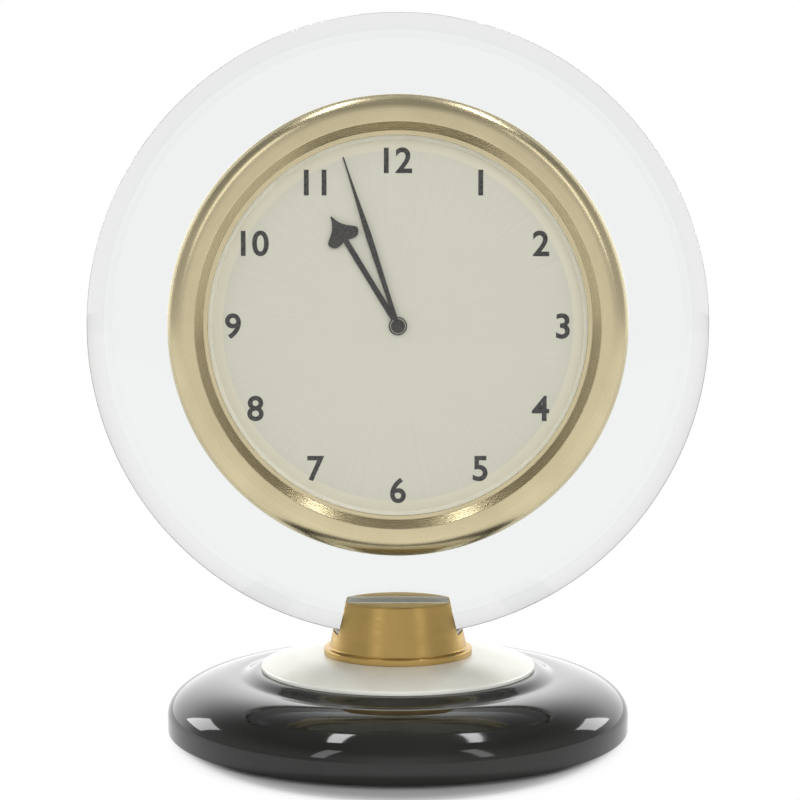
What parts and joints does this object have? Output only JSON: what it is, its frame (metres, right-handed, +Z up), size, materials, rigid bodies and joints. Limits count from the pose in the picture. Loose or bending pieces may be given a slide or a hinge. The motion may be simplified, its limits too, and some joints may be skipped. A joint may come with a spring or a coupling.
{
  "type": "desk clock",
  "caption": "Round glass disc in a slotted gold neck on a turned black base with a silver top plate, holding a quartz clock insert with a gold bezel, numbered dial and spade hands.",
  "frame": {"origin": "middle of the underside, where the felt pad meets the table", "axes": "+Z up, the dial faces -Y, +X to the right of someone reading the dial"},
  "size_m": [0.123, 0.0916, 0.1418],
  "materials": {
    "black_lacquer": "black lacquer polished to a mirror gloss over turned wood",
    "plate_silver": "spun aluminium, satin with a fine turned grain",
    "felt": "pressed black felt",
    "gold": "pale gold plating, polished with a fine turned grain",
    "steel": "plain bright steel",
    "clear_cushion": "soft clear polymer",
    "disc_glass": "clear polished glass with a faint cool edge",
    "lens_glass": "clear polished mineral glass",
    "pale_rubber": "translucent pale gasket",
    "ring_silver": "satin champagne",
    "dial_silver": "satin silver-cream with fine grain",
    "hand_black": "black enamel",
    "black_plastic": "fine matt texture",
    "white_plastic": "moulded, slightly translucent",
    "wheel_plastic": "moulded natural acetal",
    "brass": "machined",
    "magnet": "sintered magnet",
    "bobbin_green": "moulded",
    "copper": "enamelled copper wire, wound",
    "board_green": "circuit board laminate",
    "can_metal": "drawn metal can",
    "cell_jacket": "plain printed jacket, no lettering"
  },
  "bodies": {
    "stand": {"base": "black_lacquer", "top_plate": "plate_silver", "foot_pad": "felt", "neck": "gold", "bezel": "gold", "case_drum": "gold", "base_screw": "steel", "base_washer": "steel", "cover_screws": "steel", "movement_screws": "steel", "stator": "steel", "coil_core": "steel", "battery_spring": "steel", "battery_contact": "steel", "middle_plate": "steel", "glass_liner": "clear_cushion", "grip_ring": "clear_cushion", "glass_disc": "disc_glass", "lens": "lens_glass", "lens_gasket": "pale_rubber", "dial_ring": "ring_silver", "dial": "dial_silver", "back_cover": "black_plastic", "timing_chip": "black_plastic", "movement_front": "white_plastic", "movement_rear": "white_plastic", "coil_bobbin": "bobbin_green", "coil_winding": "copper", "circuit_board": "board_green", "quartz_crystal": "can_metal", "battery": "cell_jacket"},
    "minute_group": {"minute_hand": "hand_black", "hand_cap": "hand_black", "centre_arbor": "steel", "centre_wheel": "wheel_plastic", "cannon_pinion": "brass"},
    "hour_group": {"hour_hand": "hand_black", "hour_wheel": "wheel_plastic"},
    "minute_wheel_group": {"minute_wheel": "wheel_plastic"},
    "setting_group": {"setting_knob": "black_plastic", "setting_shaft": "wheel_plastic"},
    "third_group": {"third_wheel": "wheel_plastic", "third_arbor": "steel"},
    "rotor_group": {"rotor_magnet": "magnet", "rotor_arbor": "wheel_plastic"},
    "door_group": {"battery_door": "black_plastic"}
  },
  "joints": [
    {"name": "minute_hand_turn", "type": "hinge", "parent": "stand", "child": "minute_group", "pos_m": [0, 0, 0.0803], "axis": [0, 1, 0], "continuous": true},
    {"name": "hour_hand_turn", "type": "hinge", "parent": "stand", "child": "hour_group", "pos_m": [0, 0, 0.0803], "axis": [0, 1, 0], "continuous": true},
    {"name": "minute_wheel_turn", "type": "hinge", "parent": "stand", "child": "minute_wheel_group", "pos_m": [0.00846, 0, 0.07722], "axis": [0, 1, 0], "continuous": true},
    {"name": "setting_knob_turn", "type": "hinge", "parent": "stand", "child": "setting_group", "pos_m": [0.01296, 0, 0.08502], "axis": [0, 1, 0], "continuous": true},
    {"name": "third_wheel_turn", "type": "hinge", "parent": "stand", "child": "third_group", "pos_m": [-0.00562, 0, 0.09004], "axis": [0, 1, 0], "continuous": true},
    {"name": "rotor_turn", "type": "hinge", "parent": "stand", "child": "rotor_group", "pos_m": [0.00436, 0, 0.09368], "axis": [0, 1, 0], "continuous": true},
    {"name": "battery_door_slide", "type": "slide", "parent": "stand", "child": "door_group", "axis": [0, 0, -1], "range_m": [0, 0.014]}
  ],
  "couplings": [
    {"joint": "hour_hand_turn", "follows": "minute_hand_turn", "ratio": 0.083333},
    {"joint": "minute_wheel_turn", "follows": "minute_hand_turn", "ratio": -0.33333},
    {"joint": "setting_knob_turn", "follows": "minute_hand_turn", "ratio": 1},
    {"joint": "third_wheel_turn", "follows": "minute_hand_turn", "ratio": -8},
    {"joint": "rotor_turn", "follows": "minute_hand_turn", "ratio": 60}
  ]
}
